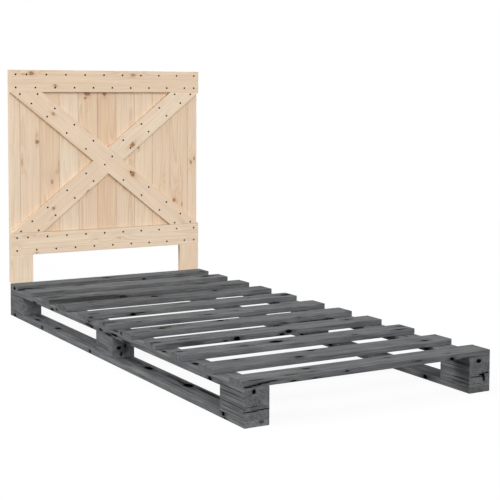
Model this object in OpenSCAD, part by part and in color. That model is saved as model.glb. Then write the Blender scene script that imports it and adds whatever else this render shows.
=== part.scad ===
// Low pallet-style single bed frame with a boarded headboard under a cross brace.
// Millimetres. +Z is up, +Y points to the head, +X to the right as seen from the foot.
// The origin is on the floor, under the middle of the whole frame.

/* [Base] */
// Width of the base, the same as its mattress
base_w = 900; // [800:10:1050]
// Length of the base, the same as its mattress
base_l = 2000; // [1800:10:2200]
// Width of the runners, blocks and stringers on each side
side_w = 83; // [70:1:110]
// Thickness of the runners that lie on the floor
runner_t = 20; // [16:1:30]
// Height of the blocks between the runners and the stringers
block_h = 75; // [60:1:120]
// Length of each block along the bed
block_l = 145; // [120:1:200]
// Thickness of the stringers that carry the slats
stringer_t = 20; // [16:1:30]

/* [Slats] */
// Number of slats, odd so that one lies over the middle blocks
slat_count = 11; // [9:2:13]
// Width of each slat along the bed
slat_w = 88; // [70:1:110]
// Thickness of each slat
slat_t = 19; // [16:1:26]

/* [Headboard] */
// How far the headboard stands in from each side of the base
headboard_inset = 7.5; // [0:0.5:20]
// Height of the top of the headboard above the floor
headboard_top = 1035; // [850:5:1300]
// Height of the lower edge of the bottom rail above the floor
panel_bottom = 251; // [200:1:350]
// Width of the top and bottom rails
rail_w = 94; // [80:1:110]
// Width of the legs
leg_w = 94; // [85:1:120]
// Width of the boards of the cross brace
brace_w = 88; // [70:1:110]
// Thickness of the rails, braces and legs
front_t = 18; // [15:1:24]
// Width of each full plank
plank_w = 88; // [76:1:110]
// Thickness of the planks
plank_t = 18; // [15:1:24]

/* [Nails] */
// Diameter of the shank of a nail
nail_d = 2.5; // [2:0.1:3.5]
// Length of a nail under its head
nail_l = 30; // [22:1:32]
// Diameter of the head of a nail
nail_head_d = 8; // [5:0.1:9]
// Height of the domed head of a nail
nail_head_h = 1.2; // [0.8:0.1:2]
// Distance from the nails to the edges of the rail or brace that they hold
nail_edge = 19.5; // [14:0.5:25]
// Distance from the rail nails to the seams between the planks
nail_seam = 24.5; // [10:0.5:30]
// Distance from a plank's left seam to the lower nail of the brace
brace_nail_seam = 26.5; // [10:0.5:34]
// Distance from the end cuts of the brace to its last nails
brace_nail_end = 8; // [5:0.5:16]
// Smallest distance along the bed's width between two nails in one row
nail_gap = 50; // [30:1:60]

/* [Screws, bolts and dowels] */
// Diameter of the screws that hold the slats and the headboard legs
small_screw_d = 4; // [3:0.5:5]
// Diameter of the heads of those screws
small_screw_head_d = 8; // [6:0.5:10]
// Length of the screws that go up through a stringer into a slat
slat_screw_l = 34; // [28:1:35]
// Length of the screws that go through an edge plank into a leg
leg_screw_l = 30; // [24:1:32]
// Number of screws that hold each leg to its edge plank
leg_screw_count = 3; // [2:1:4]
// Diameter of the screws that go into the blocks
block_screw_d = 5; // [4:0.5:6]
// Diameter of the heads of those screws
block_screw_head_d = 10; // [8:0.5:12]
// Length of the screws that go into the blocks
block_screw_l = 60; // [45:1:70]
// Depth of the screw heads below the face that they are driven into
screw_sink = 0.5; // [0.2:0.1:2]
// Diameter of the bolts that hold the headboard legs to the base
bolt_d = 8; // [6:0.5:9]
// Length of the bolts under their heads
bolt_l = 60; // [45:1:70]
// Width across the flats of the bolt heads
bolt_head_w = 13; // [10:0.5:15]
// Height of the bolt heads
bolt_head_h = 5.3; // [4:0.1:7]
// Distance of the bolts from the top and the bottom of the head blocks
bolt_edge = 24; // [16:1:28]
// Diameter of the washers under the bolt heads
washer_d = 18; // [16:0.5:20]
// Thickness of the washers
washer_t = 2; // [1:0.1:3]
// Diameter of the dowels between the legs and the bottom rail
dowel_d = 8; // [6:0.5:10]
// Length of those dowels
dowel_l = 30; // [20:1:34]
// Distance from the inner edge of a leg to its first dowel
dowel_edge = 19; // [12:1:22]
// Distance between the two dowels of a leg
dowel_pitch = 37; // [24:1:40]

/* [Finish] */
// Width of the eased edges along the boards
edge_ease = 1.5; // [0.5:0.5:3]
// Space all round a nail, screw, bolt or dowel in its hole
hole_gap = 0.05; // [0.05:0.05:0.3]

/* [Hidden] */
$fn = 32;
grey_stain = "#717377";
pale_pine = "#e4cfae";
dark_steel = "#2c2a29";
bright_steel = "#b9bbbe";
beech = "#d8b98c";

// How far each slat lies towards the head from an even spacing, from the head to the foot
slat_shift = [0, 12, 12, 17, 12, 0, 7, 10, 9, 0, 0];
overcut = 1;
// Steps of the arc of a nail's domed head
dome_steps = 3;

headboard_w = base_w - 2 * headboard_inset;
headboard_t = front_t + plank_t;
foot_y = -(base_l + headboard_t) / 2;
head_y = foot_y + base_l;
plank_y = head_y + front_t;
back_y = plank_y + plank_t;

block_z = runner_t;
stringer_z = block_z + block_h;
slat_z = stringer_z + stringer_t;
base_h = slat_z + slat_t;
side_x = base_w / 2 - side_w / 2;

// An edge plank is ripped from a full one and stays wide enough for its screws
edge_plank_min = 3 * small_screw_head_d;
plank_count = floor((headboard_w - 2 * edge_plank_min) / plank_w);
edge_plank_w = (headboard_w - plank_count * plank_w) / 2;
last_plank = plank_count + 1;

// The cross brace fills the space between the rails, corner to corner
brace_low = panel_bottom + rail_w;
brace_high = headboard_top - rail_w;
brace_h = brace_high - brace_low;
brace_z = (brace_low + brace_high) / 2;
brace_angle = atan2(brace_h, headboard_w) + asin(brace_w / norm([headboard_w, brace_h]));
brace_row = brace_w / 2 - nail_edge;

BLOCKS = ["head", "middle", "foot"];
block_y = [head_y - block_l / 2, (foot_y + head_y) / 2, foot_y + block_l / 2];
// The stringer screws lie under the slats that cover the blocks
stringer_screw_y = [head_y - slat_w / 2, (foot_y + head_y) / 2, foot_y + slat_w / 2];

function slat_name(i) = str("slat_", i < 10 ? "0" : "", i);
function plank_name(i) = i == 0 ? "left_edge_plank"
    : i == last_plank ? "right_edge_plank" : str("plank_", i);

// Slats are counted from the head
function slat_y(i) = head_y - slat_w / 2 - (i - 1) * (base_l - slat_w) / (slat_count - 1)
    + (i <= len(slat_shift) ? slat_shift[i - 1] : 0);

// Left edge, width and middle of each plank, with 0 and last_plank for the edge planks
function plank_x(i) = -headboard_w / 2 + (i == 0 ? 0 : edge_plank_w + (i - 1) * plank_w);
function plank_width(i) = i == 0 || i == last_plank ? edge_plank_w : plank_w;
function plank_mid(i) = plank_x(i) + plank_width(i) / 2;

// Nails of a rail, as [x, z]: two in each plank, an upper one to the left and a lower one
// to the right, or one above the other in an edge plank
function rail_nails(rail_z) = [
    for (i = [0:last_plank], upper = [true, false])
        let (edge = i == 0 || i == last_plank,
             reach = plank_width(i) / 2 - nail_seam,
             x = plank_mid(i) + (edge ? 0 : upper ? -reach : reach))
        [x, rail_z + (upper ? rail_w - nail_edge : nail_edge)]
];

// The lower row of nails of the long brace: one in each plank, kept off the end cuts
function row_x(z) = (brace_z - brace_row / cos(brace_angle) - z) / tan(brace_angle);
function low_x(k) = min(
    row_x(brace_low + brace_nail_end),
    max(plank_x(k) + brace_nail_seam,
        k == 0 ? row_x(brace_high - brace_nail_end) : low_x(k - 1) + nail_gap)
);
function low_z(x) = brace_z - brace_row / cos(brace_angle) - x * tan(brace_angle);
function low_row() = [for (k = [0:plank_count]) [low_x(k), low_z(low_x(k))]];

// The upper row is the lower one turned half round the middle of the brace
function long_brace_points() = concat(
    low_row(),
    [for (p = low_row()) [-p[0], 2 * brace_z - p[1]]]
);

// The other diagonal mirrors it, without the nails that would fall on the long brace.
// side is -1 for its lower half and 1 for its upper half
function across(p) = p[0] * sin(brace_angle) + (p[1] - brace_z) * cos(brace_angle);
function half_brace_points(side) = [
    for (p = long_brace_points())
        let (q = [p[0], 2 * brace_z - p[1]])
        if (side * across(q) > brace_w / 2 + nail_head_d) q
];

function all_nails() = concat(
    rail_nails(panel_bottom), rail_nails(brace_high),
    long_brace_points(), half_brace_points(-1), half_brace_points(1)
);
function nails_in_plank(i) = [
    for (p = all_nails())
        if (p[0] > plank_x(i) - nail_d && p[0] < plank_x(i) + plank_width(i) + nail_d) p
];

function leg_x(side) = side * (headboard_w / 2 - leg_w / 2);
function leg_screw_z(k) = base_h + (panel_bottom - base_h) * (k - 0.5) / leg_screw_count;

// Cross-section of a board with eased edges
module board_section(w, t) {
    e = edge_ease;
    polygon([
        [-w / 2 + e, -t / 2], [w / 2 - e, -t / 2], [w / 2, -t / 2 + e], [w / 2, t / 2 - e],
        [w / 2 - e, t / 2], [-w / 2 + e, t / 2], [-w / 2, t / 2 - e], [-w / 2, -t / 2 + e]
    ]);
}

// Boards l long, w wide and t thick: lying along X or Y round their middle, or standing
// on z = 0 with their width along X
module board_along_x(l, w, t)
    rotate([90, 0, 90]) linear_extrude(l, center = true) board_section(w, t);
module board_along_y(l, w, t)
    rotate([90, 0, 0]) linear_extrude(l, center = true) board_section(w, t);
module board_standing(l, w, t) linear_extrude(l) board_section(w, t);

// Arc of a shallow dome of radius r at its rim, h high, from its top to its rim
function dome(r, h) = let (ball_r = (r * r + h * h) / (2 * h), rim = asin(r / ball_r))
    [for (k = [0:dome_steps])
        let (a = rim * k / dome_steps) [ball_r * sin(a), ball_r * (1 - cos(a)) - h]];

// Nails and screws point along +Z, from the face that they are driven into at z = 0
module nail() {
    r = nail_d / 2;
    rotate_extrude() polygon(concat(
        dome(nail_head_d / 2, nail_head_h),
        [[r, 0], [r, nail_l - nail_d], [0, nail_l]]
    ));
}

module nail_hole() translate([0, 0, -overcut])
    cylinder(d = nail_d + 2 * hole_gap, h = nail_l + overcut + hole_gap);

module screw(d, head_d, l, grow = 0) {
    r = d / 2 + grow;
    head_r = head_d / 2 + grow;
    rotate_extrude() polygon([
        [0, screw_sink - grow], [head_r, screw_sink - grow],
        [r, screw_sink + (head_d - d) / 2 + grow], [r, l - d], [0, l + grow]
    ]);
}

module screw_hole(d, head_d, l) {
    screw(d, head_d, l, hole_gap);
    translate([0, 0, -overcut]) cylinder(d = head_d + 2 * hole_gap, h = screw_sink + overcut);
}

module small_screw(l) screw(small_screw_d, small_screw_head_d, l);
module small_screw_hole(l) screw_hole(small_screw_d, small_screw_head_d, l);
module block_screw() screw(block_screw_d, block_screw_head_d, block_screw_l);
module block_screw_hole() screw_hole(block_screw_d, block_screw_head_d, block_screw_l);

// Places of the fasteners
module at_front(points)
    for (p = points) translate([p[0], head_y, p[1]]) rotate([-90, 0, 0]) children();

module at_leg_screws(side)
    for (k = [1:leg_screw_count])
        translate([side * (headboard_w - edge_plank_w) / 2, back_y, leg_screw_z(k)])
            rotate([90, 0, 0]) children();

module at_bolts(side)
    for (up = [0, 1])
        translate([
            side * side_x + (up - 0.5) * side_w / 4,
            plank_y,
            block_z + (up == 1 ? block_h - bolt_edge : bolt_edge)
        ]) rotate([90, 0, 0]) children();

module at_dowels(side)
    for (k = [0, 1])
        translate([
            side * (headboard_w / 2 - leg_w + dowel_edge + k * dowel_pitch),
            head_y + front_t / 2,
            panel_bottom
        ]) children();

module at_runner_screws(side)
    for (y = block_y, way = [-1, 1])
        translate([side * side_x, y + way * block_l / 4, 0]) children();

module at_stringer_screws(side)
    for (y = stringer_screw_y, way = [-1, 1])
        translate([side * side_x + way * side_w / 4, y, slat_z]) rotate([180, 0, 0]) children();

module at_slat_screws(side, i)
    for (way = [-1, 1])
        translate([side * side_x, slat_y(i) + way * slat_w / 4, stringer_z]) children();

// Base
module runner(side) color(grey_stain) difference() {
    translate([side * side_x, (foot_y + head_y) / 2, runner_t / 2])
        board_along_y(base_l, side_w, runner_t);
    at_runner_screws(side) block_screw_hole();
}

module block(side, y) color(grey_stain) difference() {
    translate([side * side_x, y, block_z + block_h / 2]) board_along_y(block_l, side_w, block_h);
    at_runner_screws(side) block_screw_hole();
    at_stringer_screws(side) block_screw_hole();
    at_bolts(side) bolt_hole();
}

module stringer(side) color(grey_stain) difference() {
    translate([side * side_x, (foot_y + head_y) / 2, stringer_z + stringer_t / 2])
        board_along_y(base_l, side_w, stringer_t);
    at_stringer_screws(side) block_screw_hole();
    for (i = [1:slat_count]) at_slat_screws(side, i) small_screw_hole(slat_screw_l);
}

module slat(i) color(grey_stain) difference() {
    translate([0, slat_y(i), slat_z + slat_t / 2]) board_along_x(base_w, slat_w, slat_t);
    for (side = [-1, 1]) at_slat_screws(side, i) small_screw_hole(slat_screw_l);
}

module runner_screws() color(bright_steel)
    for (side = [-1, 1]) at_runner_screws(side) block_screw();

module stringer_screws() color(bright_steel)
    for (side = [-1, 1]) at_stringer_screws(side) block_screw();

module slat_screws(side) color(bright_steel)
    for (i = [1:slat_count]) at_slat_screws(side, i) small_screw(slat_screw_l);

// Headboard
module plank(i) {
    edge = i == 0 || i == last_plank;
    side = i == 0 ? -1 : 1;
    bottom = edge ? base_h : panel_bottom;
    color(pale_pine) difference() {
        translate([plank_mid(i), plank_y + plank_t / 2, bottom])
            board_standing(headboard_top - bottom, plank_width(i), plank_t);
        at_front(nails_in_plank(i)) nail_hole();
        if (edge) at_leg_screws(side) small_screw_hole(leg_screw_l);
    }
}

module rail(rail_z, with_dowels) color(pale_pine) difference() {
    translate([0, head_y + front_t / 2, rail_z + rail_w / 2])
        rotate([90, 0, 0]) board_along_x(headboard_w, rail_w, front_t);
    at_front(rail_nails(rail_z)) nail_hole();
    if (with_dowels) for (side = [-1, 1]) at_dowels(side) dowel(hole_gap);
}

// A board along one diagonal, cut level with the rails; lean is 1 for the long brace
module brace_board(lean) intersection() {
    translate([0, head_y + front_t / 2, brace_z])
        rotate([0, lean * brace_angle, 0]) rotate([90, 0, 0])
            board_along_x(2 * headboard_w, brace_w, front_t);
    translate([-headboard_w / 2, head_y, brace_low]) cube([headboard_w, front_t, brace_h]);
}

// All that lies beyond one edge of the long brace
module beyond_long_brace(side)
    translate([0, head_y, brace_z]) rotate([0, brace_angle, 0])
        translate([-headboard_w, -overcut, side > 0 ? brace_w / 2 : -brace_w / 2 - headboard_w])
            cube([2 * headboard_w, front_t + 2 * overcut, headboard_w]);

module long_brace() color(pale_pine) difference() {
    brace_board(1);
    at_front(long_brace_points()) nail_hole();
}

module half_brace(side) color(pale_pine) difference() {
    intersection() {
        brace_board(-1);
        beyond_long_brace(side);
    }
    at_front(half_brace_points(side)) nail_hole();
}

module headboard_leg(side) color(pale_pine) difference() {
    translate([leg_x(side), head_y + front_t / 2, 0]) board_standing(panel_bottom, leg_w, front_t);
    at_leg_screws(side) small_screw_hole(leg_screw_l);
    at_bolts(side) bolt_hole();
    at_dowels(side) dowel(hole_gap);
}

module nails(points) color(dark_steel) at_front(points) nail();

module leg_screws() color(bright_steel)
    for (side = [-1, 1]) at_leg_screws(side) small_screw(leg_screw_l);

// A dowel lies half in the leg and half in the rail, with the joint at z = 0
module dowel(grow = 0) translate([0, 0, -dowel_l / 2 - grow])
    cylinder(d = dowel_d + 2 * grow, h = dowel_l + 2 * grow);
module leg_dowels() color(beech) for (side = [-1, 1]) at_dowels(side) dowel();

// Bolts point along +Z from the back of the leg at z = 0, with a washer under the head
module bolt() {
    r = bolt_d / 2;
    translate([0, 0, -washer_t]) rotate_extrude() polygon([
        [0, 0], [r, 0], [r, bolt_l - bolt_d], [0, bolt_l]
    ]);
    translate([0, 0, -washer_t - bolt_head_h])
        cylinder(d = bolt_head_w / cos(30), h = bolt_head_h, $fn = 6);
}
module bolt_hole() translate([0, 0, -overcut])
    cylinder(d = bolt_d + 2 * hole_gap, h = bolt_l - washer_t + overcut + hole_gap);
module washer() translate([0, 0, -washer_t]) difference() {
    cylinder(d = washer_d, h = washer_t);
    translate([0, 0, -overcut]) cylinder(d = bolt_d + 2 * hole_gap, h = washer_t + 2 * overcut);
}
module leg_bolts() color(bright_steel) for (side = [-1, 1]) at_bolts(side) bolt();
module leg_washers() color(bright_steel) for (side = [-1, 1]) at_bolts(side) washer();

runner(-1);  // left_runner
runner(1);  // right_runner
for (k = [0:2]) {
    block(-1, block_y[k]);
    block(1, block_y[k]);
}
stringer(-1);  // left_stringer
stringer(1);  // right_stringer
for (i = [1:slat_count]) slat(i);
runner_screws();
stringer_screws();
slat_screws(-1);  // left_slat_screws
slat_screws(1);  // right_slat_screws

for (i = [0:last_plank]) plank(i);
rail(brace_high, false);  // top_rail
rail(panel_bottom, true);  // bottom_rail
long_brace();
half_brace(-1);  // lower_half_brace
half_brace(1);  // upper_half_brace
headboard_leg(-1);  // left_headboard_leg
headboard_leg(1);  // right_headboard_leg
nails(rail_nails(brace_high));  // top_rail_nails
nails(rail_nails(panel_bottom));  // bottom_rail_nails
nails(long_brace_points());  // long_brace_nails
nails(half_brace_points(-1));  // lower_half_brace_nails
nails(half_brace_points(1));  // upper_half_brace_nails
leg_screws();
leg_dowels();
leg_bolts();
leg_washers();
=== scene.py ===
# %% [markdown]
# # A low single bed, from pallet base to boarded headboard
#
# This lesson dresses a bed frame that carpenters would call a pallet bed. Its base is grey
# stained pine: two runners, six blocks, two stringers and a row of slats. Its headboard is bare
# pine: upright planks behind two rails and a cross brace, held with dark nails.
#
# The frame comes in from the construction model, and fixes where each piece is. Everything
# made here is worked out from the boxes of its nodes, in metres, with +Z up and +Y to the head.

# %% Load the frame
import math
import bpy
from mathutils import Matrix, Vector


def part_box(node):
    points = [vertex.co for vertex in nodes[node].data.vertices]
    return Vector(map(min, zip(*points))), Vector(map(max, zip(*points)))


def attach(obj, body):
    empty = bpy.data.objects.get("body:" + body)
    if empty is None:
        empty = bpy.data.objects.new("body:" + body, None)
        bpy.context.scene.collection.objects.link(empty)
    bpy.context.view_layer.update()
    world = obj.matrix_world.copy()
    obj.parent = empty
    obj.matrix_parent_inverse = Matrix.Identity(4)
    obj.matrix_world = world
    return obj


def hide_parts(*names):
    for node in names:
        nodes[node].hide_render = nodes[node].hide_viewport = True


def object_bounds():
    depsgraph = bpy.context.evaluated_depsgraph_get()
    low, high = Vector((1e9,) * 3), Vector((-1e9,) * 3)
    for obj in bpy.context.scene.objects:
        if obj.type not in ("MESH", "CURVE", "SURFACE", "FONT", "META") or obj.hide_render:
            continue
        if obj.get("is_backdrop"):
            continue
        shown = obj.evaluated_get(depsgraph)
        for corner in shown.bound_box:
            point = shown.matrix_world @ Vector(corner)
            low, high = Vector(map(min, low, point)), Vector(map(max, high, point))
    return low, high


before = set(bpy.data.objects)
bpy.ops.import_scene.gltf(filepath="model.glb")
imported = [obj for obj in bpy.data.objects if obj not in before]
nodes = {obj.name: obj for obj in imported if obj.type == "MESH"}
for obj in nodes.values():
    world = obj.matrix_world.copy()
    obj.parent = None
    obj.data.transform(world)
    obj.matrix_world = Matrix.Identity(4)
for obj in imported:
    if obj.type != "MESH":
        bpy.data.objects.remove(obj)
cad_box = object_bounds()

import zlib

import bpy
import numpy as np
from mathutils import Matrix, Vector

MM = 0.001
WHITE = (1, 1, 1, 1)
print(f"{len(nodes)} nodes, from {tuple(cad_box[0])} to {tuple(cad_box[1])}")

# %% [markdown]
# ## The camera
#
# A product photo of a long low thing is taken from beside its foot with a long lens, nearly
# level, so that uprights stay upright. Tilting a camera down makes them lean together, and
# shifting its sensor down doesn't. The camera here does a little of each: the shift is kept
# small, because other views of the same camera keep it.

# %% Place the camera
def camera(place, heading, tilt, roll, lens, shift):
    """A camera at a place, turned from +Y by its heading, then tilted and rolled, in degrees."""
    data = bpy.data.cameras.new("camera")
    data.sensor_width = 36
    data.lens = lens
    data.shift_x, data.shift_y = shift
    data.clip_start, data.clip_end = 0.1, 100
    made = bpy.data.objects.new("camera", data)
    turns = [(heading, "Z"), (90 + tilt, "X"), (roll, "Z")]
    matrix = Matrix.Translation(place)
    for degrees, axis in turns:
        matrix = matrix @ Matrix.Rotation(math.radians(degrees), 4, axis)
    made.matrix_world = matrix
    bpy.context.scene.collection.objects.link(made)
    bpy.context.scene.camera = made
    return made


eye = camera(place=(-2.136, -3.980, 0.959), heading=-30.13, tilt=-3.89, roll=0.23, lens=88.32,
             shift=(-0.0107, -0.1556))
print(f"the camera stands {eye.location.length:.2f} m from the bed with a lens of "
      f"{eye.data.lens:.0f} mm")

# %% [markdown]
# ## Writing materials
#
# A material is a graph of small sums. Written as calls, it reads like the formula that it is,
# so this helper turns each call into a node and hands back its socket. Colours are written as
# a screen shows them, and turned into the amounts of light that the renderer adds up.

# %% A writer for node trees
class Shader:
    """Writes a node tree as sums and textures of sockets and plain numbers."""

    def __init__(self, tree):
        self.tree = tree
        self.tree.nodes.clear()

    def add(self, kind, inputs=None, out=0, **settings):
        """One node: its settings, its inputs by name or index, and the output to go on with."""
        node = self.tree.nodes.new(kind)
        for key, value in settings.items():
            setattr(node, key, value)
        for key, value in (inputs or {}).items():
            if isinstance(value, bpy.types.NodeSocket):
                self.tree.links.new(value, node.inputs[key])
            else:
                node.inputs[key].default_value = value
        return node.outputs[out] if node.outputs else None

    def math(self, operation, *values, clamp=False):
        return self.add("ShaderNodeMath", dict(enumerate(values)), operation=operation,
                        use_clamp=clamp)

    def vector(self, operation, *values, out=0):
        return self.add("ShaderNodeVectorMath", dict(enumerate(values)), out, operation=operation)

    def mix(self, share, a, b):
        return self.add("ShaderNodeMix", {0: share, 6: a, 7: b}, 2, data_type="RGBA")

    def scale(self, vector, factor):
        return self.add("ShaderNodeVectorMath", {0: vector, "Scale": factor}, operation="SCALE")

    def step(self, value, low, high, start=0.0, end=1.0):
        """Goes smoothly from start to end while the value goes from low to high."""
        return self.add("ShaderNodeMapRange", {0: value, 1: low, 2: high, 3: start, 4: end},
                        interpolation_type="SMOOTHSTEP")

    def noise(self, vector, stretch, detail=2.0, rough=0.5):
        """Noise from 0 to 1 with that many lumps a metre along each of the vector's axes."""
        scaled = self.vector("MULTIPLY", vector, stretch)
        return self.add("ShaderNodeTexNoise", {"Vector": scaled, "Scale": 1.0, "Detail": detail,
                                               "Roughness": rough})

    def attribute(self, name):
        return self.add("ShaderNodeAttribute", out="Vector", attribute_name=name)

    def parts(self, vector):
        return self.add("ShaderNodeSeparateXYZ", {0: vector}).node.outputs


def colour(red, green, blue):
    """The linear colour of one written from 0 to 255 as a screen shows it."""
    written = np.array([red, green, blue]) / 255
    linear = np.where(written <= 0.04045, written / 12.92, ((written + 0.055) / 1.055) ** 2.4)
    return (*map(float, linear), 1.0)


print(f"screen grey 128 is {colour(128, 128, 128)[0]:.3f} of the light of white")

# %% [markdown]
# ## The light
#
# The studio is white all round, which gives soft light from every side. What shapes the bed is
# one large softbox beyond the foot. It stands about 18 degrees up, so each rail throws a short
# soft shadow on the planks below it. A second one high on the left opens the long side. It
# stands level with the headboard, so that it doesn't graze the cross brace from the side. A
# weak third one overhead lifts the tops of the boards over their front edges. A fourth, behind
# and almost level, lights the back and the right side, which the first view doesn't show. It is
# kept out of reflections, because a low light behind lays a sheen over all the tops.
#
# The softboxes are made as suns with a wide angle. A sun is as bright at the headboard as at
# the foot, and with the real softboxes metres away it nearly was.

# %% World
world = bpy.data.worlds.new("studio")
world.use_nodes = True
bpy.context.scene.world = world
bpy.context.scene.view_settings.view_transform = "Standard"

WORLD_LIGHT = 0.42


def seen_directly(s):
    """A socket that is 1 for what the camera, gloss and glass see, and 0 for light on objects."""
    path = s.add("ShaderNodeLightPath").node.outputs
    return s.math("MAXIMUM", path["Is Camera Ray"],
                  s.math("MAXIMUM", path["Is Glossy Ray"], path["Is Transmission Ray"]))


def studio_world():
    """Even light for the object, and plain white where it is seen."""
    s = Shader(world.node_tree)
    strength = s.step(seen_directly(s), 0, 1, WORLD_LIGHT, 1.0)
    light = s.add("ShaderNodeBackground", {"Color": WHITE, "Strength": strength})
    s.add("ShaderNodeOutputWorld", {"Surface": light})


studio_world()
print(f"the world gives {WORLD_LIGHT:.2f} to every side")


# %% Softboxes
def soft_sun(name, towards, strength, spread, reflected=True):
    """A light so far off that it is even over the whole bed, spread over an angle in degrees."""
    data = bpy.data.lights.new(name, "SUN")
    data.energy = strength * math.pi
    data.angle = math.radians(spread)
    made = bpy.data.objects.new(name, data)
    made.matrix_world = Vector(towards).to_track_quat("Z", "Y").to_matrix().to_4x4()
    made.visible_glossy = reflected
    bpy.context.scene.collection.objects.link(made)
    return Vector(towards).normalized() * strength


suns = [soft_sun("key", towards=(-0.15, -0.95, 0.31), strength=0.62, spread=40),
        soft_sun("fill", towards=(-1.0, 0.2, 0.5), strength=0.55, spread=24),
        soft_sun("overhead", towards=(-0.1, -0.2, 1.0), strength=0.2, spread=40),
        soft_sun("back", towards=(1.0, 1.0, 0.05), strength=0.65, spread=4, reflected=False)]
sides = {"tops": (0, 0, 1), "fronts": (0, -1, 0), "backs": (0, 1, 0), "left sides": (-1, 0, 0),
         "right sides": (1, 0, 0)}
for face, way in sides.items():
    share = sum(max(0, sun.dot(Vector(way))) for sun in suns)
    print(f"the softboxes give {share:.2f} to the {face}")

# %% [markdown]
# ## The floor
#
# A product photo is cut out on white, with the shadow left under the object. So the floor
# shows its shadow close to the bed, and further out it fades into plain white. It throws back
# only a little light, as the photo's dark undersides and side faces show.

# %% Floor
FLOOR_REACH = 9.0         # metres from the bed's middle to the floor's edges
FLOOR_BOUNCE = 0.18       # share of the light that it throws back at the bed
WHITENED = 0.92           # share of plain white by the bed, which grows to 1 further out
FADE_FROM, FADE_TO = 1.0, 5.0


def floor():
    """A flat pale square under the runners."""
    corners = np.array([[-1, -1, 0], [1, -1, 0], [1, 1, 0], [-1, 1, 0]]) * FLOOR_REACH
    mesh = bpy.data.meshes.new("floor")
    mesh.from_pydata(corners.tolist(), [], [(0, 1, 2, 3)])
    made = bpy.data.objects.new("floor", mesh)
    bpy.context.scene.collection.objects.link(made)
    material = bpy.data.materials.new("floor")
    material.use_nodes = True
    s = Shader(material.node_tree)
    far = s.vector("LENGTH", s.add("ShaderNodeTexCoord", out="Object"), out="Value")
    seen = seen_directly(s)
    bounce = (FLOOR_BOUNCE, FLOOR_BOUNCE, FLOOR_BOUNCE, 1)
    matt = s.add("ShaderNodeBsdfDiffuse", {"Color": s.mix(seen, bounce, WHITE)})
    white = s.add("ShaderNodeEmission", {"Color": WHITE, "Strength": 1.0})
    share = s.math("MULTIPLY", seen, s.step(far, FADE_FROM, FADE_TO, WHITENED, 1.0))
    surface = s.add("ShaderNodeMixShader", {0: share, 1: matt, 2: white})
    s.add("ShaderNodeOutputMaterial", {"Surface": surface})
    made.data.materials.append(material)
    made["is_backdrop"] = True


floor()
print(f"the floor is {2 * FLOOR_REACH:.0f} m wide and throws back {FLOOR_BOUNCE:.0%} of its light")

# %% [markdown]
# ## The shape of a board
#
# A planed board looks like a box, but a box is what makes a render look false. A real one has
# rounded edges from the plane, ends with a smaller bevel from sanding after the saw, faces that
# cup and wave by a fraction of a millimetre, and knots that stand a little below the face.
#
# Each board is a ring of points, the cross-section, carried along the board's length. The whole
# board is then one grid of numbers, stations by ring points, that numpy fills at once. Carving
# the same details into a box by hand would take longer, and no two boards would share a rule.

# %% The cross-section
SUPPORT = 0.4 * MM       # from a rounded edge to the first point on the face
FINE = 0.8 * MM          # between the points in a strip with screw holes
RING_SPACING = 6 * MM    # between the other points on a face
CORNER_POINTS = 5


def section(width, thick, edge, strip=0.0):
    """Points (a, b) round a board and the outward direction at each, counter-clockwise.

    A corner is centre + edge * (cos t, sin t) for t through a quarter turn. A side is straight,
    with a point close to each corner that keeps the shading of the round edge off the face, and
    with fine points in a strip to both sides of its middle where one is asked for."""
    points, outward = [], []
    for k, (side_a, side_b) in enumerate([(1, -1), (1, 1), (-1, 1), (-1, -1)]):
        turn = np.radians(np.linspace(-90, 0, CORNER_POINTS) + 90 * k)
        directions = np.stack([np.cos(turn), np.sin(turn)], 1)
        centre = np.array([side_a * (width / 2 - edge), side_b * (thick / 2 - edge)])
        points.append(centre + edge * directions)
        outward.append(directions)
        run = (width if k % 2 else thick) - 2 * edge
        along = np.linspace(SUPPORT, run - SUPPORT, max(2, round(run / RING_SPACING)) + 1)
        if strip and k % 2:
            along = along[abs(along - run / 2) > strip + FINE / 2]
            fine = run / 2 + np.arange(-strip, strip, FINE)
            along = np.sort(np.concatenate([along, fine]))
        straight = np.array([-directions[-1][1], directions[-1][0]])
        points.append(points[-1][-1] + along[:, None] * straight)
        outward.append(np.repeat(directions[-1:], len(along), 0))
    return np.concatenate(points), np.concatenate(outward)


print(f"{len(section(83 * MM, 20 * MM, 1.2 * MM)[0])} points go round a stringer")

# %% [markdown]
# Along the board the points stand evenly, and closer together where a knot or a screw needs
# them. They are kept at least half a millimetre apart: closer ones would make slivers, and a
# sliver shades as a bright line.

# %% The stations along a board
SPACING = 8 * MM         # between stations where nothing asks for more
CLOSEST = 0.5 * MM
END_EDGE = 0.4 * MM      # the radius of the sanded edge at an end
END_POINTS = 4


def stations(length, dense=()):
    """Rows of (share of the start, share of the end, offset, inset), one for each station.

    The first and last few follow a quarter circle of radius END_EDGE from the end face to the
    sides: offset = END_EDGE * (1 - cos t), inset = END_EDGE * (1 - sin t)."""
    turn = np.radians(np.linspace(0, 90, END_POINTS))
    offset, inset = END_EDGE * (1 - np.cos(turn)), END_EDGE * (1 - np.sin(turn))
    even = np.linspace(0, 1, max(3, round(length / SPACING)) + 1)[1:-1]
    share = np.clip(np.concatenate([even, *dense]), 0.002, 0.998)
    share = np.unique(np.round(share * length / CLOSEST)) * CLOSEST / length
    start = np.stack([1 + 0 * turn, 0 * turn, offset, inset], 1)
    middle = np.stack([1 - share, share, END_EDGE * (1 - 2 * share), 0 * share], 1)
    end = np.stack([0 * turn, 1 + 0 * turn, -offset, inset], 1)[::-1]
    return np.concatenate([start, middle, end])


print(f"{len(stations(900 * MM))} stations stand along a slat without knots")

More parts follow.
